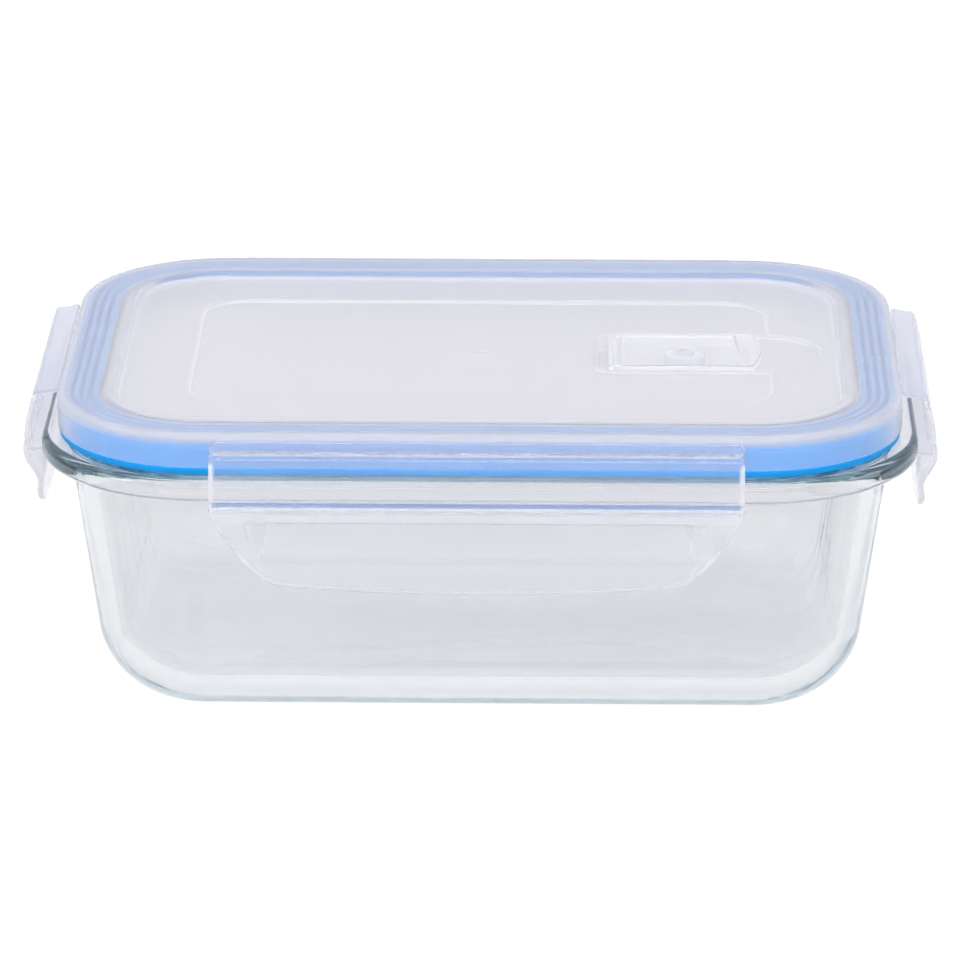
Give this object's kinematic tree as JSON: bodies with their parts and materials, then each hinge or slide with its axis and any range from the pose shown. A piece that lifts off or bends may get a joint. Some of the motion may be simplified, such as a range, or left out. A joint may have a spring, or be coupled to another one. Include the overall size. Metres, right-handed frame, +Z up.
{
  "type": "glass lunch box",
  "caption": "Rectangular glass food box with a clear clip-on lid: a silicone seal ring, a hinged latch on each side and a hinged vent flap.",
  "frame": {"origin": "centre of the base, on the surface that the box stands on", "axes": "+Z up, +X along the length towards the vent flap's free end, -Y towards the front latch"},
  "size_m": [0.1886, 0.1386, 0.0658],
  "materials": {
    "glass": "clear pressed soda-lime glass, faint green at the edges",
    "lid_plastic": "translucent moulded polypropylene, softly glossy",
    "seal_silicone": "bright blue silicone, satin",
    "plug_silicone": "milky clear silicone, satin"
  },
  "bodies": {
    "base": {"glass_box": "glass"},
    "lid": {"lid_panel": "lid_plastic", "seal_ring": "seal_silicone"},
    "front_strip": {"front_hinge_strip": "lid_plastic"},
    "front_clip": {"front_latch": "lid_plastic"},
    "back_strip": {"back_hinge_strip": "lid_plastic"},
    "back_clip": {"back_latch": "lid_plastic"},
    "left_strip": {"left_hinge_strip": "lid_plastic"},
    "left_clip": {"left_latch": "lid_plastic"},
    "right_strip": {"right_hinge_strip": "lid_plastic"},
    "right_clip": {"right_latch": "lid_plastic"},
    "vent": {"vent_flap": "lid_plastic", "vent_plug": "plug_silicone"}
  },
  "joints": [
    {"name": "lid_lift", "type": "slide", "parent": "base", "child": "lid", "axis": [0, 0, 1], "range_m": [0, 0.02]},
    {"name": "front_strip_flex", "type": "hinge", "parent": "lid", "child": "front_strip", "pos_m": [0, -0.0621, 0.06425], "axis": [-1, 0, 0], "range_deg": [0, 80]},
    {"name": "front_latch_swing", "type": "hinge", "parent": "front_strip", "child": "front_clip", "pos_m": [0, -0.0665, 0.06345], "axis": [-1, 0, 0], "range_deg": [0, 105]},
    {"name": "back_strip_flex", "type": "hinge", "parent": "lid", "child": "back_strip", "pos_m": [0, 0.0621, 0.06425], "axis": [1, 0, 0], "range_deg": [0, 80]},
    {"name": "back_latch_swing", "type": "hinge", "parent": "back_strip", "child": "back_clip", "pos_m": [0, 0.0665, 0.06345], "axis": [1, 0, 0], "range_deg": [0, 105]},
    {"name": "left_strip_flex", "type": "hinge", "parent": "lid", "child": "left_strip", "pos_m": [-0.0871, 0, 0.06425], "axis": [0, 1, 0], "range_deg": [0, 80]},
    {"name": "left_latch_swing", "type": "hinge", "parent": "left_strip", "child": "left_clip", "pos_m": [-0.0915, 0, 0.06345], "axis": [0, 1, 0], "range_deg": [0, 105]},
    {"name": "right_strip_flex", "type": "hinge", "parent": "lid", "child": "right_strip", "pos_m": [0.0871, 0, 0.06425], "axis": [0, -1, 0], "range_deg": [0, 80]},
    {"name": "right_latch_swing", "type": "hinge", "parent": "right_strip", "child": "right_clip", "pos_m": [0.0915, 0, 0.06345], "axis": [0, -1, 0], "range_deg": [0, 105]},
    {"name": "vent_flap_swing", "type": "hinge", "parent": "lid", "child": "vent", "pos_m": [0.028, 0, 0.0629], "axis": [0, -1, 0], "range_deg": [0, 105]}
  ],
  "couplings": [
    {"joint": "front_strip_flex", "follows": "lid_lift", "rad_per_m": 69.8},
    {"joint": "back_strip_flex", "follows": "lid_lift", "rad_per_m": 69.8},
    {"joint": "left_strip_flex", "follows": "lid_lift", "rad_per_m": 69.8},
    {"joint": "right_strip_flex", "follows": "lid_lift", "rad_per_m": 69.8}
  ]
}
